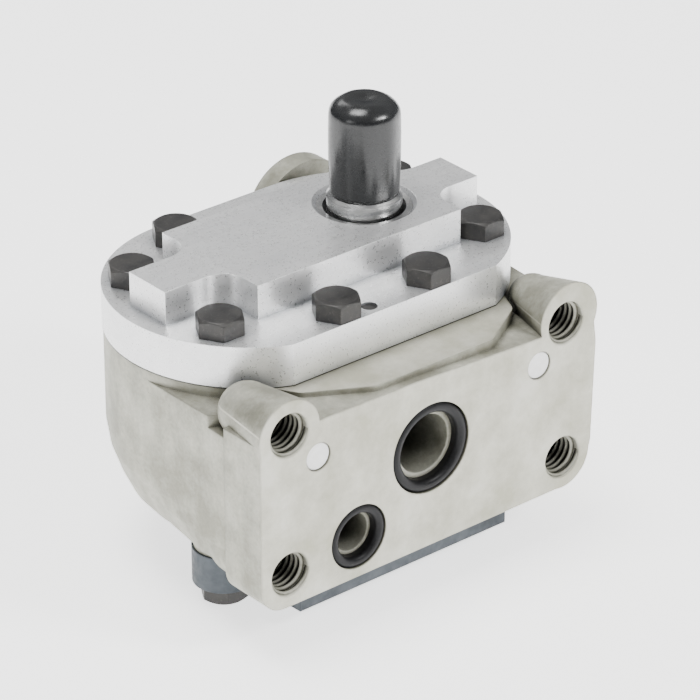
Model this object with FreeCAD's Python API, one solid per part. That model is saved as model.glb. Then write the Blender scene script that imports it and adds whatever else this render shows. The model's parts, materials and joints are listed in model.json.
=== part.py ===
import FreeCAD, Part
import math
import os

# Hydraulic gear pump, millimetres. Origin: centre of the four mounting holes, on the
# mounting face. -Y points out of that face, +Z up along the drive shaft.

V = FreeCAD.Vector
X_AXIS, Y_AXIS, Z_AXIS = V(1, 0, 0), V(0, 1, 0), V(0, 0, 1)

# Gears
TEETH = 12
MODULE = 3.5
PRESSURE_ANGLE = math.radians(25)
CENTRE_DISTANCE = TEETH * MODULE
PITCH_R = CENTRE_DISTANCE / 2
TIP_R = 24.3
ROOT_R = 16.9
TOOTH_THINNING = 0.14
FLANK_POINTS = 6

# Gear axes
MID_X = 2.1
AXIS_Y = 56.4
DRIVE_X = MID_X + PITCH_R
DRIVEN_X = MID_X - PITCH_R

# Levels
BODY_TOP = 24.4
BODY_BOTTOM = -30.5
COVER_LOW_TOP = 37.4
COVER_TOP = 47.9
REAR_BOTTOM = -41.8

# Bearing blocks and bushes
POCKET_FLOOR = -24.5
BLOCK_LENGTH = 13.4
SIDE_GAP = 0.05
POCKET_R = TIP_R + 0.1
BLOCK_R = TIP_R + 0.05
JOURNAL_R = 11.0
JOURNAL_GAP = 0.04
BUSH_R = 12.5
BUSH_LENGTH = 12.4
END_GAP = 0.6

# Covers
COVER_R = 42.3
FLAT_Y = 17.3
FLAT_CORNER_R = 5.0
REAR_LOBE_R = 9.2
REAR_GEAR_R = 20.0
REAR_WEB_INSET = 0.5
REAR_FRONT_Y = 8.0
REAR_FRONT_LEFT, REAR_FRONT_RIGHT = -41.0, 36.0
CORE_HOLE_R = 12.0

# Screws, hexagon heads
SCREW_R = 3.97
HOLE_R = 4.1
HEAD_FLATS = 12.7
HEAD_HEIGHT = 5.6
THREAD_DEPTH = 18.0
NEAR_X, NEAR_Y = 16.5, 32.5
FAR_X, FAR_Y = 47.8, 20.0
BACK_X, BACK_Y = -22.8, 32.0
FRONT_EDGE_SCREWS = [(-FAR_X, -FAR_Y), (-NEAR_X, -NEAR_Y), (NEAR_X, -NEAR_Y), (FAR_X, -FAR_Y)]
FRONT_SCREWS = FRONT_EDGE_SCREWS + [(-FAR_X, FAR_Y), (FAR_X, FAR_Y), (BACK_X, BACK_Y)]
REAR_SCREWS = FRONT_EDGE_SCREWS + [(-NEAR_X, NEAR_Y), (NEAR_X, NEAR_Y)]

# Mounting face
HOLE_X, HOLE_Z = 50.8, 21.95
MOUNT_HOLE_R = 6.35
MOUNT_HOLE_DEPTH = 18.5
MOUNT_CHAMFER = 0.5
FACE_LEFT, FACE_RIGHT, FACE_BOTTOM = -61.0, 62.6, -32.2
PLUG_X, PLUG_Z, PLUG_R = 40.7, 11.6, 4.3
PLUG_DEPTH, PLUG_RECESS = 9.0, 0.4

# Taper of the lower housing, radius and level, and how the casting in front follows it
TAPER = [(31.5, BODY_BOTTOM), (35.6, -25.5), (38.6, -19.0), (41.0, -12.0), (42.0, -5.0)]
BLOCK_LEVELS = [(31.5, BODY_BOTTOM + 0.2, 7.4), (35.6, -25.5, 1.9), (38.6, -19.0, 0.6),
                (41.0, -12.0, 0.2), (42.0, -5.0, 0.0), (42.0, 17.5, 0.0)]
WALL_INSET = 0.2
LEDGE_TOP = BODY_TOP - 3.2

# Ports: x, z, bore radius, O-ring inner and outer radius
SUCTION = (0.2, -0.5, 9.0, 10.4, 14.0)
PRESSURE = (-26.2, -19.3, 5.8, 6.8, 9.9)
RING_DEPTH = 3.4
SUCTION_BORE_END, SUCTION_CORE_R = 24.0, 7.6
PRESSURE_BORE_END = 15.0
GALLERY_R = 4.0
GALLERY_Z = -7.0

# Shaft end, its cap and its seal
SPLINE_TEETH = 11
SPLINE_R, SPLINE_ROOT_R = 9.3, 8.0
SHOULDER_Z = 51.5
SHAFT_END = 77.0
CAP_BOTTOM, CAP_TOP, CAP_R = 51.6, 81.2, 10.5
CAP_GAP = 0.1
SEAL_BORE_R = 14.0
SEAL_FLOOR = 38.8
SEAL_LENGTH = 8.0

# Rear lug
LUG_X, LUG_Z, LUG_R, LUG_BORE_R = 36.5, 23.5, 17.2, 12.0
LUG_RELIEF_R = 13.5
COVER_ROOM = 0.4
LUG_FRONT, LUG_BACK, LUG_FLOOR = 99.2, 106.0, 95.5


def cylinder(radius, low, high, x=0.0, y=0.0):
    return Part.makeCylinder(radius, high - low, V(x, y, low), Z_AXIS)


def cylinder_y(radius, low, high, x, z):
    return Part.makeCylinder(radius, high - low, V(x, low, z), Y_AXIS)


def box(low, high):
    return Part.makeBox(high[0] - low[0], high[1] - low[1], high[2] - low[2], V(*low))


def fuse(shapes):
    result = shapes[0]
    for shape in shapes[1:]:
        result = result.fuse(shape)
    return result.removeSplitter()


def revolve(profile, x=MID_X, y=AXIS_Y):
    """Solid of revolution about a vertical line; profile is a list of (radius, z)."""
    wire = Part.makePolygon([V(x + r, y, z) for r, z in profile + profile[:1]])
    return Part.Face(wire).revolve(V(x, y, 0), Z_AXIS, 360)


def oval(profile):
    """The profile turned about both gear axes and carried straight between them."""
    half = [(r, z) for r, z in profile]
    outline = [V(DRIVEN_X, AXIS_Y - r, z) for r, z in half]
    outline += [V(DRIVEN_X, AXIS_Y + r, z) for r, z in reversed(half)]
    middle = Part.Face(Part.makePolygon(outline + outline[:1])).extrude(V(CENTRE_DISTANCE, 0, 0))
    closed = [(0, half[0][1])] + half + [(0, half[-1][1])]
    return fuse([revolve(closed, DRIVE_X), revolve(closed, DRIVEN_X), middle])


def straight_oval(radius, low, high):
    return oval([(radius, low), (radius, high)])


def extrude_xz(points, low, high):
    wire = Part.makePolygon([V(x, low, z) for x, z in points + points[:1]])
    return Part.Face(wire).extrude(V(0, high - low, 0))


def extrude_xy(points, low, high):
    wire = Part.makePolygon([V(x, y, low) for x, y in points + points[:1]])
    return Part.Face(wire).extrude(V(0, 0, high - low))


def twin(radius, low, high):
    """Two cylinders, one on each gear axis."""
    return fuse([cylinder(radius, low, high, x, AXIS_Y) for x in (DRIVE_X, DRIVEN_X)])


def holes(places, radius, low, high):
    return [cylinder(radius, low, high, MID_X + x, AXIS_Y + y) for x, y in places]


def rounded(shape, radius, chosen):
    """Fillet the edges that chosen picks; the sharp shape stays where that is impossible."""
    edges = [e for e in shape.Edges if chosen(e)]
    if not edges:
        return shape
    result = shape.makeFillet(radius, edges)
    return result if result.isValid() else shape


def is_upright(edge, x_limit, y_limit):
    low, high = edge.BoundBox.ZMin, edge.BoundBox.ZMax
    box_ = edge.BoundBox
    return high - low > 3 and box_.XLength < 0.01 and box_.YLength < 0.01 and (
        abs(box_.XMin) > x_limit and box_.YMin < y_limit)


# Body
def ear(x, z, front_r, back_r, length):
    """Tapered boss round a mounting hole, with a rounded back end."""
    cone = Part.makeCone(front_r, back_r, length, V(x, 0, z), Y_AXIS)
    return fuse([cone, Part.makeSphere(back_r, V(x, length, z))])


def mounting_flange():
    corner = 8.0
    plate = extrude_xz([(FACE_LEFT, FACE_BOTTOM + corner), (FACE_LEFT + corner, FACE_BOTTOM),
                        (52.0, -31.9), (59.5, -27.5), (61.6, -20.0), (FACE_RIGHT, 12.3),
                        (61.0, 24.0), (51.0, 22.0), (41.1, 20.4), (-4.0, 22.4), (-37.6, 22.9),
                        (-50.8, 22.0), (FACE_LEFT, 21.0)], 0, 16)
    corner_post = cylinder_y(corner, 0, 16, FACE_LEFT + corner, FACE_BOTTOM + corner)
    ears = [ear(-HOLE_X, HOLE_Z, 10.6, 8.4, 18.0), ear(51.9, 23.4, 10.8, 7.2, 15.5),
            ear(-HOLE_X, -HOLE_Z, 10.2, 9.0, 22.0), ear(HOLE_X, -HOLE_Z, 10.2, 9.0, 22.0)]
    return fuse([plate, corner_post] + ears)


def block_between():
    """Casting between the mounting face and the gear housing."""
    sections = []
    for radius, z, inset in BLOCK_LEVELS:
        points = [(-60.4 + inset, 1), (-60.1 + inset, 34 - 2 * inset),
                  (DRIVEN_X - radius + WALL_INSET, AXIS_Y), (DRIVE_X + radius - WALL_INSET, AXIS_Y),
                  (63.0 - inset, 34 - 2 * inset), (61.9 - inset, 1)]
        sections.append(Part.makePolygon([V(x, y, z) for x, y in points + points[:1]]))
    lower = Part.makeLoft(sections, True, True)
    land = extrude_xy([(-17.5, 3), (25.5, 3), (42, 13), (48, 26), (50, 52), (-46, 52), (-44, 26),
                       (-36, 13)], 12, BODY_TOP)
    land = rounded(land, 4.0, lambda e: is_upright(e, 0, 40))
    left = extrude_xy([(-60.2, 24), (-36, 12.5), (-36, 50), (-60.5, 52)], 12, LEDGE_TOP)
    right = extrude_xy([(62.4, 24), (64.6, 52), (40, 50), (40, 12.7)], 12, LEDGE_TOP)
    return [lower, land, left, right]


def housing():
    """Tapered oval round the gears, with bosses for the rear cover's screws."""
    outer = oval(TAPER + [(TAPER[-1][0], BODY_TOP)])
    bosses = []
    for x, y in REAR_SCREWS:
        place = V(MID_X + x, AXIS_Y + y, BODY_BOTTOM)
        bosses.append(Part.makeCone(8.6, 7.0, 22, place, Z_AXIS))
    return [outer] + bosses


def rear_lug():
    ring = cylinder_y(LUG_R, LUG_FRONT, LUG_BACK, LUG_X, LUG_Z)
    pad = box((LUG_X - LUG_R, AXIS_Y + 20, LUG_Z - LUG_R), (LUG_X + LUG_R, LUG_FRONT, BODY_TOP))
    pad = rounded(pad, 5.0, lambda e: e.BoundBox.YLength > 5 and e.BoundBox.ZMax < BODY_TOP - 1)
    return [fuse([ring, pad])]


def gallery(points):
    """Round cored passage along straight runs."""
    pieces = []
    for start, end in zip(points, points[1:]):
        run = end - start
        pieces.append(Part.makeCylinder(GALLERY_R, run.Length, start, run))
        pieces.append(Part.makeSphere(GALLERY_R, end))
    return pieces


def ring_seat(port):
    x, z, bore, inner, outer = port
    return cylinder_y(outer, -1, RING_DEPTH, x, z)


def mounting_hole(x, z):
    hole = cylinder_y(MOUNT_HOLE_R, -1, MOUNT_HOLE_DEPTH, x, z)
    mouth = Part.makeCone(MOUNT_HOLE_R + MOUNT_CHAMFER, MOUNT_HOLE_R, MOUNT_CHAMFER,
                          V(x, 0, z), Y_AXIS)
    return [hole, mouth]


def body():
    shape = fuse([mounting_flange()] + housing() + block_between() + rear_lug())
    cuts = [cylinder(POCKET_R, POCKET_FLOOR, BODY_TOP + 1, x, AXIS_Y) for x in (DRIVE_X, DRIVEN_X)]
    cuts += [cylinder(CORE_HOLE_R, BODY_BOTTOM - 1, POCKET_FLOOR + 1, x, AXIS_Y)
             for x in (DRIVE_X, DRIVEN_X)]
    cuts.append(box((FACE_LEFT, 0, BODY_BOTTOM - 9), (FACE_RIGHT, 120, BODY_BOTTOM)).cut(
        box((-70, -1, BODY_BOTTOM - 9), (70, FLAT_Y - 0.5, BODY_BOTTOM))))
    cuts += holes(FRONT_SCREWS, SCREW_R, BODY_TOP - THREAD_DEPTH - 2, BODY_TOP + 1)
    cuts += holes(REAR_SCREWS, SCREW_R, BODY_BOTTOM - 1, BODY_BOTTOM + THREAD_DEPTH - 2)
    cuts.append(cylinder_y(SUCTION[2], -1, SUCTION_BORE_END, SUCTION[0], SUCTION[1]))
    cuts.append(cylinder_y(SUCTION_CORE_R, -1, AXIS_Y - 9, SUCTION[0], SUCTION[1]))
    cuts.append(cylinder_y(PRESSURE[2], -1, PRESSURE_BORE_END, PRESSURE[0], PRESSURE[1]))
    cuts += [ring_seat(SUCTION), ring_seat(PRESSURE)]
    for x in (-HOLE_X, HOLE_X):
        for z in (-HOLE_Z, HOLE_Z):
            cuts += mounting_hole(x, z)
    cuts += [cylinder_y(PLUG_R, -1, PLUG_DEPTH, x, PLUG_Z) for x in (-PLUG_X, PLUG_X)]
    cuts.append(cylinder_y(LUG_BORE_R, LUG_FRONT - 1, LUG_BACK + 1, LUG_X, LUG_Z))
    cuts.append(cylinder_y(LUG_RELIEF_R, LUG_FLOOR, LUG_FRONT, LUG_X, LUG_Z))
    cuts.append(straight_oval(COVER_R + COVER_ROOM, BODY_TOP, COVER_TOP).cut(
        box((-90, 0, BODY_TOP), (90, FLAT_Y - COVER_ROOM, COVER_TOP))))
    cuts += holes(FRONT_DOWELS, DOWEL_R, BODY_TOP - DOWEL_DEPTH, BODY_TOP + 1)
    cuts += holes(REAR_DOWELS, DOWEL_R, BODY_BOTTOM - 1, BODY_BOTTOM + DOWEL_DEPTH)
    cuts += gallery([V(PRESSURE[0], 13, PRESSURE[1]), V(-40, 23, GALLERY_Z),
                     V(-52.9, AXIS_Y, GALLERY_Z), V(-38, 86.5, GALLERY_Z),
                     V(MID_X, 88, GALLERY_Z), V(MID_X, AXIS_Y + 10, GALLERY_Z)])
    for tool in cuts:
        shape = shape.cut(tool)
    return shape.removeSplitter()


# Covers
DOWEL_R = 3.0
DOWEL_DEPTH = 8.0
FRONT_DOWELS = [(-35.0, 27.8), (35.0, -27.8)]
REAR_DOWELS = [(0, -29.0), (0, 29.0)]
SEAL_WIDTH, SEAL_DEPTH = 2.3, 1.8
FRONT_SEAL_R, REAR_SEAL_R = 25.3, 14.6


def cover_boss():
    """Raised part of the cover: a wide middle and narrower ends, scalloped at the screws."""
    wide, narrow, scallop = 21.5, 8.1, 7.2
    left, right, end_left, end_right = -33.5, 41.1, -55.4, 59.2
    middle = box((left, AXIS_Y - wide, COVER_LOW_TOP - 1), (right, AXIS_Y + wide, COVER_TOP))
    ends = box((end_left, AXIS_Y - narrow, COVER_LOW_TOP - 1),
               (end_right, AXIS_Y + narrow, COVER_TOP))
    shape = fuse([middle, ends])
    shape = rounded(shape, scallop, lambda e: is_upright(e, 30, 90)
                    and abs(abs(e.BoundBox.YMin - AXIS_Y) - narrow) < 0.1
                    and abs(e.BoundBox.XMin) < 50)
    return shape.common(straight_oval(COVER_R, COVER_LOW_TOP - 1, COVER_TOP))


def front_cover():
    plate = straight_oval(COVER_R, BODY_TOP, COVER_LOW_TOP)
    plate = plate.cut(box((-90, 0, BODY_TOP - 1), (90, FLAT_Y, COVER_LOW_TOP + 1)))
    shape = fuse([plate, cover_boss()])
    cuts = holes(FRONT_SCREWS, HOLE_R, BODY_TOP - 1, COVER_LOW_TOP + 1)
    cuts += holes(FRONT_DOWELS, DOWEL_R, BODY_TOP - 1, BODY_TOP + DOWEL_DEPTH)
    cuts.append(body_seal(FRONT_SEAL_R, BODY_TOP))
    cuts.append(cylinder(JOURNAL_R + 0.5, BODY_TOP - 1, SEAL_FLOOR + 1, DRIVE_X, AXIS_Y))
    cuts.append(cylinder(SEAL_BORE_R, SEAL_FLOOR, COVER_TOP + 1, DRIVE_X, AXIS_Y))
    cuts.append(Part.makeCone(SEAL_BORE_R, SEAL_BORE_R + 1.2, 1.2,
                              V(DRIVE_X, AXIS_Y, COVER_TOP - 1.2), Z_AXIS))
    cuts.append(cylinder(PIN_R, COVER_LOW_TOP - PIN_LENGTH, COVER_LOW_TOP + 1, PIN_X, PIN_Y))
    return shape.cut(cuts).removeSplitter()


PIN_X, PIN_Y, PIN_R, PIN_LENGTH = -4.6, 21.4, 2.4, 9.0


def cover_pin():
    return cylinder(PIN_R, COVER_LOW_TOP - PIN_LENGTH, COVER_LOW_TOP - 0.6, PIN_X, PIN_Y)


def body_seal(radius, low):
    return straight_oval(radius + SEAL_WIDTH, low, low + SEAL_DEPTH).cut(
        straight_oval(radius, low, low + SEAL_DEPTH))


def rear_cover():
    discs = [cylinder(REAR_LOBE_R, REAR_BOTTOM, BODY_BOTTOM, MID_X + x, AXIS_Y + y)
             for x, y in REAR_SCREWS]
    discs += [cylinder(REAR_GEAR_R, REAR_BOTTOM, BODY_BOTTOM, x, AXIS_Y)
              for x in (DRIVE_X, DRIVEN_X)]
    reach = REAR_LOBE_R - REAR_WEB_INSET
    near = [(MID_X + sx * NEAR_X, AXIS_Y + sy * (NEAR_Y + reach)) for sx, sy in
            ((-1, -1), (1, -1), (1, 1), (-1, 1))]
    webs = [extrude_xy(near, REAR_BOTTOM, BODY_BOTTOM)]
    for side in (-1, 1):
        far = (MID_X + side * FAR_X, AXIS_Y - FAR_Y)
        webs.append(extrude_xy([(far[0], far[1] - reach),
                                (MID_X + side * (NEAR_X - 1), AXIS_Y - NEAR_Y - reach),
                                (MID_X + side * (NEAR_X - 1), AXIS_Y - FAR_Y),
                                (far[0], far[1] + 2)], REAR_BOTTOM, BODY_BOTTOM))
    webs.append(extrude_xy([(REAR_FRONT_LEFT, REAR_FRONT_Y), (REAR_FRONT_RIGHT, REAR_FRONT_Y),
                            (REAR_FRONT_RIGHT + 8, FLAT_Y + 13), (REAR_FRONT_LEFT - 1, FLAT_Y + 13)],
                           REAR_BOTTOM, BODY_BOTTOM))
    shape = fuse(discs + webs)
    cuts = [box((-90, 0, REAR_BOTTOM - 1), (90, REAR_FRONT_Y, BODY_BOTTOM + 1)),
            box((-90, 0, FACE_BOTTOM - 0.3), (90, FLAT_Y - 0.3, BODY_BOTTOM + 1))]
    cuts += holes(REAR_SCREWS, HOLE_R, REAR_BOTTOM - 1, BODY_BOTTOM + 1)
    cuts += holes(REAR_DOWELS, DOWEL_R, BODY_BOTTOM - DOWEL_DEPTH, BODY_BOTTOM + 1)
    cuts.append(body_seal(REAR_SEAL_R, BODY_BOTTOM - SEAL_DEPTH))
    return shape.cut(cuts).removeSplitter()


# Gears and shafts
def involute_angle(radius):
    base = PITCH_R * math.cos(PRESSURE_ANGLE)
    alpha = math.acos(min(1.0, base / radius))
    return math.tan(alpha) - alpha


def gear_blank(turn, low, high):
    """Spur gear with involute flanks; turn is the angle of one tooth's centre."""
    base = PITCH_R * math.cos(PRESSURE_ANGLE)
    half_pitch = (math.pi * MODULE / 2 - TOOTH_THINNING) / 2 / PITCH_R
    radii = [base + (TIP_R - base) * (i / (FLANK_POINTS - 1)) ** 1.5 for i in range(FLANK_POINTS)]
    flank = [(r, half_pitch + involute_angle(PITCH_R) - involute_angle(r)) for r in radii]

    def at(radius, angle):
        return V(radius * math.cos(angle), radius * math.sin(angle), low)

    edges = []
    for tooth in range(TEETH):
        centre = turn + tooth * 2 * math.pi / TEETH
        after = turn + (tooth + 1) * 2 * math.pi / TEETH
        rise = [at(r, centre - a) for r, a in flank]
        fall = [at(r, centre + a) for r, a in reversed(flank)]
        foot = flank[0][1]
        for points in (rise, fall):
            curve = Part.BSplineCurve()
            curve.interpolate(points)
            edges.append(curve.toShape())
        edges.append(Part.Arc(rise[-1], at(TIP_R, centre), fall[0]).toShape())
        edges.append(Part.LineSegment(at(ROOT_R, centre - foot), rise[0]).toShape())
        edges.append(Part.LineSegment(fall[-1], at(ROOT_R, centre + foot)).toShape())
        edges.append(Part.Arc(at(ROOT_R, centre + foot), at(ROOT_R, (centre + after) / 2),
                              at(ROOT_R, after - foot)).toShape())
    wire = Part.Wire(Part.__sortEdges__(edges))
    return Part.Face(wire).extrude(V(0, 0, high - low))


def spline_end(low, high):
    points = []
    for tooth in range(SPLINE_TEETH):
        centre = tooth * 2 * math.pi / SPLINE_TEETH
        for radius, share in ((SPLINE_ROOT_R, -0.36), (SPLINE_R, -0.18), (SPLINE_R, 0.18),
                              (SPLINE_ROOT_R, 0.36)):
            angle = centre + share * 2 * math.pi / SPLINE_TEETH
            points.append((radius * math.cos(angle), radius * math.sin(angle)))
    teeth = extrude_xy(points, low, high)
    lead = Part.makeCone(SPLINE_R + 0.2, SPLINE_R - 1.0, 1.2, V(0, 0, high - 1.2), Z_AXIS)
    return teeth.common(fuse([cylinder(SPLINE_R + 0.2, low, high - 1.2), lead]))


GEAR_TOP = BODY_TOP - BLOCK_LENGTH - SIDE_GAP
GEAR_BOTTOM = POCKET_FLOOR + BLOCK_LENGTH + SIDE_GAP


def journals(top):
    """Plain shaft with a chamfered foot."""
    foot = POCKET_FLOOR + END_GAP
    return revolve([(0, foot), (JOURNAL_R - 1, foot), (JOURNAL_R, foot + 1), (JOURNAL_R, top - 1),
                    (JOURNAL_R - 1, top), (0, top)], 0, 0)


def drive_gear_shaft():
    shape = fuse([gear_blank(math.pi, GEAR_BOTTOM, GEAR_TOP), journals(SHOULDER_Z),
                  spline_end(SHOULDER_Z - 0.5, SHAFT_END)])
    shape.translate(V(DRIVE_X, AXIS_Y, 0))
    return shape


def driven_gear_shaft():
    shape = fuse([gear_blank(math.pi / TEETH, GEAR_BOTTOM, GEAR_TOP),
                  journals(BODY_TOP - END_GAP)])
    shape.translate(V(DRIVEN_X, AXIS_Y, 0))
    return shape


# Bearing blocks, bushes and their seals
E_IN, E_OUT, E_DEPTH = 16.0, 18.4, 1.8


def pressure_seal(low):
    """Seal shaped like a 3, which shuts off the pressure side behind a bearing block."""
    rings = [cylinder(E_OUT, low, low + E_DEPTH, x, AXIS_Y) for x in (DRIVE_X, DRIVEN_X)]
    bar = box((MID_X - 5, AXIS_Y - 1.2, low), (MID_X + 5, AXIS_Y + 1.2, low + E_DEPTH))
    shape = fuse(rings + [bar])
    shape = shape.cut([cylinder(E_IN, low, low + E_DEPTH, x, AXIS_Y) for x in (DRIVE_X, DRIVEN_X)])
    return shape.cut(box((-90, 0, low), (90, AXIS_Y - 8, low + E_DEPTH)))


def bearing_block(low, seal):
    shape = twin(BLOCK_R, low, low + BLOCK_LENGTH)
    bores = [cylinder(BUSH_R, low - 1, low + BLOCK_LENGTH + 1, x, AXIS_Y)
             for x in (DRIVE_X, DRIVEN_X)]
    return shape.cut(bores + [seal])


def bush(x, low):
    return cylinder(BUSH_R, low, low + BUSH_LENGTH, x, AXIS_Y).cut(
        cylinder(JOURNAL_R + JOURNAL_GAP, low, low + BUSH_LENGTH, x, AXIS_Y))


# Shaft seal
def seal_case():
    low, high = SEAL_FLOOR, SEAL_FLOOR + SEAL_LENGTH
    return revolve([(SEAL_BORE_R, low), (SEAL_BORE_R, high), (12.1, high), (12.1, high - 0.9),
                    (13.1, high - 0.9), (13.1, low)], DRIVE_X)


def seal_lip():
    low, high = SEAL_FLOOR, SEAL_FLOOR + SEAL_LENGTH
    return revolve([(13.1, low), (13.1, high - 0.9), (12.1, high - 0.9), (12.1, high - 0.4),
                    (JOURNAL_R + 0.06, high - 1.0), (JOURNAL_R + 0.6, high - 2.2),
                    (12.3, high - 2.6), (12.3, low + 3.4), (JOURNAL_R + 0.05, low + 2.6),
                    (JOURNAL_R + 0.4, low + 0.8), (11.66, low + 0.8), (11.66, low + 2.0),
                    (12.5, low + 2.0), (12.5, low)], DRIVE_X)


def garter_spring():
    return Part.makeTorus(12.05, 0.35, V(DRIVE_X, AXIS_Y, SEAL_FLOOR + 1.6), Z_AXIS)


def shaft_cap():
    """Soft transit cap with a slightly crowned top."""
    inner = SPLINE_R + CAP_GAP
    waist = CAP_R - 0.3
    return revolve([(inner, CAP_BOTTOM), (waist, CAP_BOTTOM), (CAP_R, CAP_BOTTOM + 9),
                    (CAP_R, CAP_TOP - 4.5), (CAP_R - 0.7, CAP_TOP - 1.8),
                    (CAP_R - 2.6, CAP_TOP - 0.4), (CAP_R - 5.5, CAP_TOP), (0, CAP_TOP),
                    (0, SHAFT_END + 1), (inner, SHAFT_END + 1)], DRIVE_X)


# Fasteners, rings and plugs
def screw(x, y, seat, up):
    """Hexagon screw; up is 1 for a head above its seat and -1 for one below it."""
    corner_r = HEAD_FLATS / math.sqrt(3)
    end = seat + up * HEAD_HEIGHT
    low, high = min(seat, end), max(seat, end)
    hexagon = [(x + corner_r * math.cos(math.radians(60 * i)),
                y + corner_r * math.sin(math.radians(60 * i))) for i in range(6)]
    head = extrude_xy(hexagon, low, high)
    crown = revolve([(0, seat), (corner_r, seat), (corner_r, seat + up * (HEAD_HEIGHT - 0.9)),
                     (HEAD_FLATS / 2 - 0.3, end), (0, end)], x, y)
    length = THREAD_DEPTH - 3 + (COVER_LOW_TOP - BODY_TOP if up > 0 else BODY_BOTTOM - REAR_BOTTOM)
    tip = seat - up * length
    stem = cylinder(SCREW_R - 0.02, min(seat, tip), max(seat, tip), x, y)
    return fuse([head.common(crown), stem])


def screws(places, seat, up):
    return Part.makeCompound([screw(MID_X + x, AXIS_Y + y, seat, up) for x, y in places])


def dowels(places, joint):
    reach = DOWEL_DEPTH - 0.5
    return Part.makeCompound(holes(places, DOWEL_R - 0.01, joint - reach, joint + reach))


def port_ring(port):
    x, z, bore, inner, outer = port
    ring = cylinder_y(outer, 0.05, RING_DEPTH, x, z).cut(cylinder_y(inner, -1, RING_DEPTH + 1, x, z))
    crest = [e for e in ring.Edges if e.BoundBox.YMax < 0.1]
    return ring.makeFillet((outer - inner) / 2 - 0.1, crest)


def flange_plug(x):
    plug = cylinder_y(PLUG_R, PLUG_RECESS, PLUG_DEPTH, x, PLUG_Z)
    return plug.makeChamfer(0.4, [e for e in plug.Edges if e.BoundBox.YMax < PLUG_RECESS + 0.01])


def main():
    os.makedirs("parts", exist_ok=True)
    front_seal = pressure_seal(BODY_TOP - E_DEPTH)
    rear_seal = pressure_seal(POCKET_FLOOR)
    parts = {
        "body": body(),
        "front_cover": front_cover(),
        "rear_cover": rear_cover(),
        "drive_gear_shaft": drive_gear_shaft(),
        "driven_gear_shaft": driven_gear_shaft(),
        "front_bearing_block": bearing_block(BODY_TOP - BLOCK_LENGTH, front_seal),
        "rear_bearing_block": bearing_block(POCKET_FLOOR, rear_seal),
        "drive_front_bush": bush(DRIVE_X, BODY_TOP - BLOCK_LENGTH + 0.3),
        "drive_rear_bush": bush(DRIVE_X, POCKET_FLOOR + 0.3),
        "driven_front_bush": bush(DRIVEN_X, BODY_TOP - BLOCK_LENGTH + 0.3),
        "driven_rear_bush": bush(DRIVEN_X, POCKET_FLOOR + 0.3),
        "front_pressure_seal": front_seal,
        "rear_pressure_seal": rear_seal,
        "front_body_seal": body_seal(FRONT_SEAL_R, BODY_TOP),
        "rear_body_seal": body_seal(REAR_SEAL_R, BODY_BOTTOM - SEAL_DEPTH),
        "shaft_seal_case": seal_case(),
        "shaft_seal_lip": seal_lip(),
        "seal_garter_spring": garter_spring(),
        "front_cover_screws": screws(FRONT_SCREWS, COVER_LOW_TOP, 1),
        "rear_cover_screws": screws(REAR_SCREWS, REAR_BOTTOM, -1),
        "front_dowels": dowels(FRONT_DOWELS, BODY_TOP),
        "rear_dowels": dowels(REAR_DOWELS, BODY_BOTTOM),
        "cover_pin": cover_pin(),
        "suction_port_ring": port_ring(SUCTION),
        "pressure_port_ring": port_ring(PRESSURE),
        "left_flange_plug": flange_plug(-PLUG_X),
        "right_flange_plug": flange_plug(PLUG_X),
        "shaft_cap": shaft_cap(),
    }
    for name, shape in parts.items():
        box_ = shape.BoundBox
        print(f"{name:22s} valid={shape.isValid()} solids={len(shape.Solids)} "
              f"x {box_.XMin:.1f}..{box_.XMax:.1f} y {box_.YMin:.1f}..{box_.YMax:.1f} "
              f"z {box_.ZMin:.1f}..{box_.ZMax:.1f} volume {shape.Volume:.0f}")
        shape.exportStep(f"parts/{name}.step")


main()
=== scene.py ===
import json
import math

import bpy
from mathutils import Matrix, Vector


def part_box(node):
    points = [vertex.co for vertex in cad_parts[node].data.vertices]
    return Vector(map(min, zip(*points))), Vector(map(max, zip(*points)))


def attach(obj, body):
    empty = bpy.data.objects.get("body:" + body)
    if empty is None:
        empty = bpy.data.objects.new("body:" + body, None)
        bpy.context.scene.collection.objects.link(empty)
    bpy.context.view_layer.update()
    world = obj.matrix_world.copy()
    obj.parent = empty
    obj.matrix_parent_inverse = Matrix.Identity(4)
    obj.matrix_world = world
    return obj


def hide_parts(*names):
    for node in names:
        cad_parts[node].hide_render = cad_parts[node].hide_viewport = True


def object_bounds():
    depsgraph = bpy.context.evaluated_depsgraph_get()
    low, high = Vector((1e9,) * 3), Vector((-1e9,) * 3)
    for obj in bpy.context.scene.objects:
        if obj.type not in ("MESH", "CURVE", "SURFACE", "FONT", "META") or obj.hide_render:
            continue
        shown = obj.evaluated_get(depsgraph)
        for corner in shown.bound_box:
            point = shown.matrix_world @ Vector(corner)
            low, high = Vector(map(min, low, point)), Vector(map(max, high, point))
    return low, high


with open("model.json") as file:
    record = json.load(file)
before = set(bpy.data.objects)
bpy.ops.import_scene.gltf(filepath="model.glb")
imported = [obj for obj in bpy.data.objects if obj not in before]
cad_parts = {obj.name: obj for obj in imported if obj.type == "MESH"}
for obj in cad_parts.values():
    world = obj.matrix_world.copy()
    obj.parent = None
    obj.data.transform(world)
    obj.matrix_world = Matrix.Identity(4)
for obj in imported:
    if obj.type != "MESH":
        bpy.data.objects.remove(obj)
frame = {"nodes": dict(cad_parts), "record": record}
CAD_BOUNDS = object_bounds()

MM = 0.001

# The mounting face, in Y, and the top of the body under the front cover, in Z
FLANGE_FACE = 0.0
BODY_TOP = float(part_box("front_cover")[0][2])

# Camera: a long lens, to the left of the mounting face and above it
CAMERA_PLACE = (-0.6527, -0.7435, 0.5616)
CAMERA_TARGET = (0.0103, 0.0475, 0.0076)
LENS = 208.85
SENSOR_WIDTH = 36
CLIP_RANGE = (0.05, 20)

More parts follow.
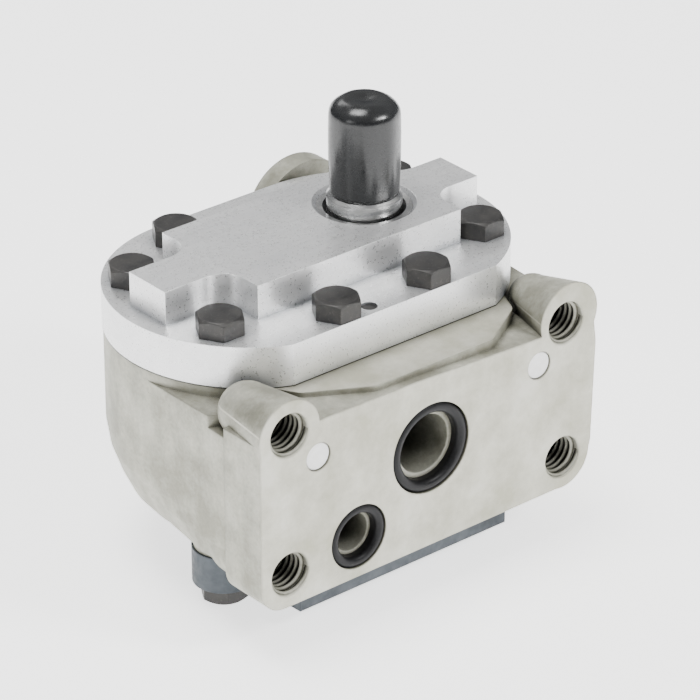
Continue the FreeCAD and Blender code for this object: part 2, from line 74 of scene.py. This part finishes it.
# Lights: name, place, diameter, power
LIGHT_TARGET = (0.0, 0.05, 0.02)
LIGHTS = (("key", (0.55, -1.1, 1.0), 0.4, 15),
          ("top", (-0.2, 0.2, 1.3), 0.6, 13),
          ("left", (-1.3, -0.1, 0.5), 0.5, 2),
          ("back", (0.3, 1.2, 0.9), 0.6, 3))
SKY_LOW, SKY_HIGH = (0.16, 0.17, 0.19), (1.0, 1.0, 1.0)
SKY_STRENGTH = 0.6
FLOOR_HALF = 3.0
FLOOR_GLOW = 1.8

# Materials
EDGE_SAMPLES = 6
SHADE_SAMPLES = 6
PLANE_TOLERANCE = 0.25 * MM
# Painted shade colours: in crevices, and deeper in ports and pockets
PAINTED_CREVICE_SHADE = (0.42, 0.41, 0.37)
DEEP_SHADE = (0.015, 0.015, 0.015)

# Dark line where the front cover meets the body
SEAM = 0.35 * MM

# Mounting hole threads, 1/2-13
THREAD_PITCH = 25.4 / 13 * MM
THREAD_ROOT_R = 6.33 * MM
THREAD_CREST_R = 5.4 * MM
THREAD_DEPTH = 17 * MM
THREAD_START = 0.9 * MM
# Half widths of the ridge, in pitches
THREAD_ROOT_HALF, THREAD_CREST_HALF = 0.44, 0.1
THREAD_STEPS = 40
# The ridge rises from nothing over this part of its first turn
THREAD_LEAD = 0.5

# Transit cap
CAP_STEPS = 144
CAP_SIDE_RINGS = 26
CAP_WALL = 1.05 * MM
CAP_BORE = 26.0 * MM
CAP_CROWN_HEIGHT = 0.5 * MM
# Its shoulder starts this far up
CAP_SHOULDER = 0.84
# Shares of its largest radius: at its mouth, at the foot of its shoulder, and lost over the shoulder
CAP_MOUTH, CAP_CHEST, CAP_ROUNDING = 0.955, 0.987, 0.30
CAP_ROUNDING_POWER = 2.4
# The dimpled top: share of the crown's radius, rise above the crown in mm
CAP_CROWN = ((0.85, 0.405), (0.65, 0.468), (0.45, 0.342), (0.25, 0.0), (0.08, -0.225))
CAP_FOLDS = 9
CAP_FOLD_TWIST = 18
# Share of the radius at the mouth, and how much of it is gone at the top of the side
CAP_FOLD_DEPTH = 0.008
CAP_FOLD_FADE = 0.35


# Node helpers
def new_material(name, roughness, metallic, specular=0.5):
    material = bpy.data.materials.new(name)
    material.use_nodes = True
    shader = material.node_tree.nodes["Principled BSDF"]
    shader.inputs["Roughness"].default_value = roughness
    shader.inputs["Metallic"].default_value = metallic
    shader.inputs["Specular IOR Level"].default_value = specular
    return material.node_tree, shader, material


def place(tree, scale=(1, 1, 1)):
    """Object coordinates in metres, stretched by scale."""
    coords = tree.nodes.new("ShaderNodeTexCoord")
    mapping = tree.nodes.new("ShaderNodeMapping")
    mapping.inputs["Scale"].default_value = scale
    tree.links.new(coords.outputs["Object"], mapping.inputs["Vector"])
    return mapping.outputs["Vector"]


def noise(tree, scale, detail=4.0, stretch=(1, 1, 1), roughness=0.6):
    node = tree.nodes.new("ShaderNodeTexNoise")
    node.inputs["Scale"].default_value = scale
    node.inputs["Detail"].default_value = detail
    node.inputs["Roughness"].default_value = roughness
    tree.links.new(place(tree, stretch), node.inputs["Vector"])
    return node.outputs["Fac"]


def ramp(tree, fac, low, high, start, end):
    """Colour or grey from low to high as fac goes from start to end."""
    node = tree.nodes.new("ShaderNodeValToRGB")
    first, last = node.color_ramp.elements
    first.position, last.position = start, end
    first.color = (*low, 1)
    last.color = (*high, 1)
    tree.links.new(fac, node.inputs["Fac"])
    return node.outputs["Color"]


def grey(tree, fac, low, high, start=0.35, end=0.65):
    return ramp(tree, fac, (low,) * 3, (high,) * 3, start, end)


def mix(tree, fac, a, b, mode="MIX"):
    node = tree.nodes.new("ShaderNodeMix")
    node.data_type = "RGBA"
    node.blend_type = mode
    if isinstance(fac, float):
        node.inputs["Factor"].default_value = fac
    else:
        tree.links.new(fac, node.inputs["Factor"])
    tree.links.new(a, node.inputs["A"])
    tree.links.new(b, node.inputs["B"])
    return node.outputs["Result"]


def math_node(tree, operation, a, b):
    node = tree.nodes.new("ShaderNodeMath")
    node.operation = operation
    for socket, value in zip(node.inputs, (a, b)):
        if isinstance(value, float):
            socket.default_value = value
        else:
            tree.links.new(value, socket)
    return node.outputs["Value"]


def bump(tree, shader, heights, edge_radius=0.0):
    """Stacks bumps, (height, strength, distance), on edges softened by edge_radius."""
    normal = None
    if edge_radius:
        bevel = tree.nodes.new("ShaderNodeBevel")
        bevel.samples = EDGE_SAMPLES
        bevel.inputs["Radius"].default_value = edge_radius
        normal = bevel.outputs["Normal"]
    for height, strength, distance in heights:
        node = tree.nodes.new("ShaderNodeBump")
        node.inputs["Strength"].default_value = strength
        node.inputs["Distance"].default_value = distance
        tree.links.new(height, node.inputs["Height"])
        if normal:
            tree.links.new(normal, node.inputs["Normal"])
        normal = node.outputs["Normal"]
    tree.links.new(normal, shader.inputs["Normal"])


def paint_crevice_shade(tree, color, distance, dark=PAINTED_CREVICE_SHADE, start=0.25, end=0.85):
    """Painted shade where surfaces come close together."""
    node = tree.nodes.new("ShaderNodeAmbientOcclusion")
    node.samples = SHADE_SAMPLES
    node.inputs["Distance"].default_value = distance
    shade = ramp(tree, node.outputs["AO"], dark, (1, 1, 1), start, end)
    return mix(tree, 1.0, color, shade, "MULTIPLY")


def near_plane(tree, axis, value, tolerance=PLANE_TOLERANCE):
    """1 on the plane where the object coordinate equals value, 0 elsewhere."""
    split = tree.nodes.new("ShaderNodeSeparateXYZ")
    tree.links.new(place(tree), split.inputs["Vector"])
    offset = math_node(tree, "SUBTRACT", split.outputs[axis], value)
    distance = math_node(tree, "ABSOLUTE", offset, 0.0)
    return math_node(tree, "LESS_THAN", distance, tolerance)


# Materials
def cast_aluminium():
    """Warm pale casting, mottled and streaked upright; its cut faces are more even. Painted shade
    darkens its crevices, and deeper painted shade its ports.
    """
    tree, shader, material = new_material("cast_aluminium", 0.5, 0.25)
    mottle = noise(tree, 60, 6, roughness=0.65)
    streaks = noise(tree, 160, 5, (1, 1, 0.12))
    specks = noise(tree, 900, 3)
    cloudy = ramp(tree, mottle, (0.31, 0.305, 0.24), (0.58, 0.575, 0.49), 0.38, 0.62)
    streaky = mix(tree, 0.55, cloudy, grey(tree, streaks, 0.72, 1.0), "MULTIPLY")
    rough_skin = mix(tree, 0.35, streaky, grey(tree, specks, 0.6, 1.0, 0.3, 0.6), "MULTIPLY")
    stain = noise(tree, 45, 7, roughness=0.7)
    cut = ramp(tree, stain, (0.42, 0.41, 0.32), (0.64, 0.63, 0.55), 0.38, 0.66)
    face = near_plane(tree, "Y", FLANGE_FACE)
    land = near_plane(tree, "Z", BODY_TOP)
    machined = math_node(tree, "MAXIMUM", face, land)
    skin = mix(tree, machined, rough_skin, cut)
    # Painted shade: darker in crevices, near black deep in ports and pockets
    skin = paint_crevice_shade(tree, skin, 7 * MM)
    skin = paint_crevice_shade(tree, skin, 40 * MM, DEEP_SHADE, 0.05, 0.42)
    tree.links.new(skin, shader.inputs["Base Color"])
    tree.links.new(grey(tree, mottle, 0.42, 0.62), shader.inputs["Roughness"])
    bump(tree, shader, [(mottle, 0.25, 0.6 * MM), (specks, 0.22, 0.15 * MM)], 0.9 * MM)
    return material


def milled_aluminium():
    """Bright cut aluminium: long tool lines on the flats, a sparkle where the light catches it."""
    tree, shader, material = new_material("milled_aluminium", 0.3, 0.72)
    lines = noise(tree, 420, 4, (0.04, 1, 1))
    cross = noise(tree, 700, 3, (1, 0.1, 1))
    cloud = noise(tree, 40, 5)
    glint = noise(tree, 1100, 3, roughness=0.75)
    base = ramp(tree, cloud, (0.83, 0.835, 0.84), (0.95, 0.95, 0.945), 0.3, 0.7)
    base = mix(tree, 0.3, base, grey(tree, lines, 0.8, 1.0), "MULTIPLY")
    base = mix(tree, 0.25, base, grey(tree, glint, 0.72, 1.0, 0.3, 0.5), "MULTIPLY")
    # Painted shade, bluish grey, in the crevices of the milled parts
    base = paint_crevice_shade(tree, base, 5 * MM, (0.45, 0.47, 0.5))
    seam = near_plane(tree, "Z", BODY_TOP, SEAM)
    dark = ramp(tree, cloud, (0.03, 0.03, 0.028), (0.08, 0.08, 0.075), 0.3, 0.7)
    tree.links.new(mix(tree, seam, base, dark), shader.inputs["Base Color"])
    tree.links.new(grey(tree, glint, 0.26, 0.42), shader.inputs["Roughness"])
    bump(tree, shader, [(lines, 0.2, 0.12 * MM), (cross, 0.1, 0.1 * MM), (glint, 0.12, 0.06 * MM)],
         0.25 * MM)
    return material


def cast_iron():
    tree, shader, material = new_material("cast_iron", 0.5, 0.4)
    grain = noise(tree, 500, 6)
    cloud = noise(tree, 60, 4)
    base = ramp(tree, cloud, (0.035, 0.042, 0.05), (0.10, 0.115, 0.13), 0.3, 0.7)
    tree.links.new(base, shader.inputs["Base Color"])
    tree.links.new(grey(tree, grain, 0.4, 0.65), shader.inputs["Roughness"])
    bump(tree, shader, [(grain, 0.3, 0.2 * MM)], 0.6 * MM)
    return material


def ground_steel():
    tree, shader, material = new_material("ground_steel", 0.22, 1.0)
    rings = noise(tree, 900, 3, (0.15, 0.15, 1))
    base = ramp(tree, rings, (0.38, 0.385, 0.39), (0.62, 0.62, 0.61), 0.3, 0.7)
    tree.links.new(base, shader.inputs["Base Color"])
    tree.links.new(grey(tree, rings, 0.16, 0.34), shader.inputs["Roughness"])
    bump(tree, shader, [(rings, 0.05, 0.05 * MM)])
    return material


def black_steel():
    """Black oxide, a little brown and worn to bare metal in specks."""
    tree, shader, material = new_material("black_steel", 0.4, 0.55)
    cloud = noise(tree, 180, 5)
    wear = noise(tree, 1100, 4, roughness=0.75)
    base = ramp(tree, cloud, (0.018, 0.018, 0.019), (0.055, 0.052, 0.048), 0.3, 0.7)
    worn = ramp(tree, wear, (0.03, 0.03, 0.03), (0.20, 0.19, 0.17), 0.55, 0.85)
    tree.links.new(mix(tree, 0.4, base, worn, "SCREEN"), shader.inputs["Base Color"])
    tree.links.new(grey(tree, cloud, 0.3, 0.52), shader.inputs["Roughness"])
    bump(tree, shader, [(wear, 0.15, 0.08 * MM)], 0.5 * MM)
    return material


def bronze():
    tree, shader, material = new_material("bronze", 0.35, 1.0)
    cloud = noise(tree, 300, 4)
    base = ramp(tree, cloud, (0.34, 0.22, 0.10), (0.55, 0.38, 0.19), 0.3, 0.7)
    tree.links.new(base, shader.inputs["Base Color"])
    bump(tree, shader, [(cloud, 0.1, 0.05 * MM)])
    return material


def black_rubber():
    tree, shader, material = new_material("black_rubber", 0.42, 0.0, 0.2)
    grain = noise(tree, 1400, 3)
    tree.links.new(ramp(tree, grain, (0.004, 0.004, 0.0045), (0.010, 0.010, 0.011), 0.3, 0.7),
                   shader.inputs["Base Color"])
    tree.links.new(grey(tree, grain, 0.34, 0.5), shader.inputs["Roughness"])
    bump(tree, shader, [(grain, 0.1, 0.04 * MM)])
    return material


def black_vinyl():
    """Dipped vinyl: glossy, with slack waves down its side."""
    tree, shader, material = new_material("black_vinyl", 0.24, 0.0, 0.6)
    waves = noise(tree, 130, 2, (1, 1, 0.25))
    skin = noise(tree, 700, 4)
    tree.links.new(ramp(tree, waves, (0.004, 0.0045, 0.005), (0.012, 0.013, 0.014), 0.3, 0.7),
                   shader.inputs["Base Color"])
    tree.links.new(grey(tree, skin, 0.2, 0.3), shader.inputs["Roughness"])
    bump(tree, shader, [(waves, 0.3, 0.7 * MM), (skin, 0.03, 0.05 * MM)])
    return material


def white_plastic():
    tree, shader, material = new_material("white_plastic", 0.45, 0.0)
    grain = noise(tree, 500, 4)
    tree.links.new(ramp(tree, grain, (0.86, 0.86, 0.84), (0.97, 0.97, 0.96), 0.3, 0.7),
                   shader.inputs["Base Color"])
    bump(tree, shader, [(grain, 0.08, 0.06 * MM)], 0.3 * MM)
    return material


# Pieces
def mesh_piece(name, points, faces, material, body):
    """A smooth mesh that fills a material slot and rides a body."""
    mesh = bpy.data.meshes.new(name)
    mesh.from_pydata(points, [], faces)
    mesh.validate()
    mesh.polygons.foreach_set("use_smooth", [True] * len(mesh.polygons))
    piece = bpy.data.objects.new(name, mesh)
    bpy.context.scene.collection.objects.link(piece)
    mesh.materials.append(material)
    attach(piece, body)
    return piece


def thread(name, x, z, material):
    """Helical ridge of a right-hand thread, inside a hole that runs along +Y."""
    section = [(THREAD_ROOT_R, -THREAD_ROOT_HALF), (THREAD_CREST_R, -THREAD_CREST_HALF),
               (THREAD_CREST_R, THREAD_CREST_HALF), (THREAD_ROOT_R, THREAD_ROOT_HALF)]
    turns = (THREAD_DEPTH - THREAD_START) / THREAD_PITCH - 1
    count = int(turns * THREAD_STEPS)
    points = []
    for i in range(count + 1):
        angle = 2 * math.pi * i / THREAD_STEPS
        lead = min(1.0, i / (THREAD_LEAD * THREAD_STEPS))
        for radius, share in section:
            r = THREAD_ROOT_R - (THREAD_ROOT_R - radius) * lead
            y = THREAD_START + THREAD_PITCH * (i / THREAD_STEPS + share)
            points.append((x + r * math.cos(angle), y, z - r * math.sin(angle)))
    size = len(section)
    faces = [tuple(range(size)), tuple(range(count * size + size - 1, count * size - 1, -1))]
    for i in range(count):
        for j in range(size):
            a, b = i * size + j, i * size + (j + 1) % size
            faces.append((a, a + size, b + size, b))
    mesh_piece(name, points, faces, material, "root")


def band(low, high):
    """Faces between two rings of CAP_STEPS points, given the first point of each."""
    return [(low + j, low + (j + 1) % CAP_STEPS, high + (j + 1) % CAP_STEPS, high + j)
            for j in range(CAP_STEPS)]


def cap_radius(height):
    """Outer radius of the cap, as a share of its largest, up its height."""
    if height < CAP_SHOULDER:
        swell = math.sin(math.pi * min(1.0, height / CAP_SHOULDER * 0.75))
        return CAP_MOUTH + (1 - CAP_MOUTH) * swell
    rounding = (height - CAP_SHOULDER) / (1 - CAP_SHOULDER)
    return CAP_CHEST - CAP_ROUNDING * rounding ** CAP_ROUNDING_POWER


def transit_cap(material):
    """Dipped vinyl cap: shallow facets round its side, a soft shoulder and a dimpled top."""
    low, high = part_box("shaft_cap")
    x, y = (low[0] + high[0]) / 2, (low[1] + high[1]) / 2
    bottom, top = low[2], high[2]
    radius = (high[0] - low[0]) / 2

    # Rings: radius, height, depth of the folds
    rings = []
    for i in range(CAP_SIDE_RINGS + 1):
        height = i / CAP_SIDE_RINGS
        rise = 0.98 * height + 0.02 * math.sin(math.pi * height)
        z = bottom + (top - bottom - CAP_CROWN_HEIGHT) * rise
        rings.append((radius * cap_radius(height), z, 1.0 - CAP_FOLD_FADE * height))
    crown_radius, crown_z = rings[-1][:2]
    for share, rise in CAP_CROWN:
        rings.append((crown_radius * share, crown_z + rise * MM, 0.3 * share))
    bore = [(radius - CAP_WALL, bottom, 0.0), (radius - CAP_WALL, bottom + CAP_BORE, 0.0)]

    points = []
    for r, z, fold in rings + bore:
        for j in range(CAP_STEPS):
            angle = 2 * math.pi * j / CAP_STEPS
            ripple = math.cos(CAP_FOLDS * angle + CAP_FOLD_TWIST * (z - bottom))
            ripple += 0.5 * math.cos(4 * angle + 1)
            rr = r * (1 + CAP_FOLD_DEPTH * fold * ripple)
            points.append((x + rr * math.cos(angle), y + rr * math.sin(angle), z))

    starts = [i * CAP_STEPS for i in range(len(rings) + len(bore))]
    crown, mouth, roof = starts[-3:]
    faces = [face for foot, head in zip(starts, starts[1:-2]) for face in band(foot, head)]
    faces.append(tuple(range(crown, mouth)))
    faces += [face[::-1] for face in band(mouth, roof)]
    faces.append(tuple(reversed(range(roof, roof + CAP_STEPS))))
    faces += band(mouth, 0)
    cap = mesh_piece("transit_cap", points, faces, material, "cap")
    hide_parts("shaft_cap")


# Stage
def floor():
    mesh = bpy.data.meshes.new("floor")
    level = CAD_BOUNDS[0][2]
    corners = ((-1, -1), (1, -1), (1, 1), (-1, 1))
    mesh.from_pydata([(sx * FLOOR_HALF, sy * FLOOR_HALF, level) for sx, sy in corners],
                     [], [(0, 1, 2, 3)])
    obj = bpy.data.objects.new("floor", mesh)
    bpy.context.scene.collection.objects.link(obj)
    tree, shader, material = new_material("floor_white", 0.8, 0.0, 0.2)
    shade = noise(tree, 2, 1)
    tree.links.new(grey(tree, shade, 0.95, 0.97), shader.inputs["Base Color"])
    shader.inputs["Emission Color"].default_value = (1, 1, 1, 1)
    shader.inputs["Emission Strength"].default_value = FLOOR_GLOW
    mesh.materials.append(material)


def area_light(name, place_at, size, power):
    data = bpy.data.lights.new(name, "AREA")
    data.shape = "DISK"
    data.size = size
    data.energy = power
    light = bpy.data.objects.new(name, data)
    light.location = place_at
    aim = Vector(LIGHT_TARGET) - Vector(place_at)
    light.rotation_euler = aim.to_track_quat("-Z", "Y").to_euler()
    bpy.context.scene.collection.objects.link(light)


def studio():
    world = bpy.data.worlds.new("studio")
    world.use_nodes = True
    tree = world.node_tree
    background = tree.nodes["Background"]
    coords = tree.nodes.new("ShaderNodeTexCoord")
    split = tree.nodes.new("ShaderNodeSeparateXYZ")
    tree.links.new(coords.outputs["Generated"], split.inputs["Vector"])
    sky = ramp(tree, split.outputs["Z"], SKY_LOW, SKY_HIGH, 0.02, 0.6)
    tree.links.new(sky, background.inputs["Color"])
    background.inputs["Strength"].default_value = SKY_STRENGTH
    bpy.context.scene.world = world
    for light in LIGHTS:
        area_light(*light)


def camera():
    data = bpy.data.cameras.new("camera")
    data.lens = LENS
    data.sensor_width = SENSOR_WIDTH
    data.clip_start, data.clip_end = CLIP_RANGE
    obj = bpy.data.objects.new("camera", data)
    obj.location = CAMERA_PLACE
    direction = Vector(CAMERA_TARGET) - Vector(CAMERA_PLACE)
    obj.rotation_euler = direction.to_track_quat("-Z", "Y").to_euler()
    bpy.context.scene.collection.objects.link(obj)
    bpy.context.scene.camera = obj


camera()
studio()
floor()

MAKERS = {"cast_aluminium": cast_aluminium, "milled_aluminium": milled_aluminium,
          "cast_iron": cast_iron, "ground_steel": ground_steel, "black_steel": black_steel,
          "bronze": bronze, "black_rubber": black_rubber, "black_vinyl": black_vinyl,
          "white_plastic": white_plastic}
MATERIALS = {slot: make() for slot, make in MAKERS.items()}

for entry in frame["record"]["subparts"]:
    node = frame["nodes"][entry["node"]]
    for material_slot in node.material_slots:
        material_slot.material = MATERIALS[entry["material_slot"]]

holes = next(m for m in frame["record"]["mounts"] if m["name"] == "mounting_holes")
half_x, half_z = (holes["dims"][key] / 2 * MM for key in ("spacing_x_mm", "spacing_y_mm"))
for side, sx in (("left", -1), ("right", 1)):
    for level, sz in (("lower", -1), ("upper", 1)):
        thread(f"{level}_{side}_thread", sx * half_x, sz * half_z, MATERIALS["cast_aluminium"])

transit_cap(MATERIALS["black_vinyl"])
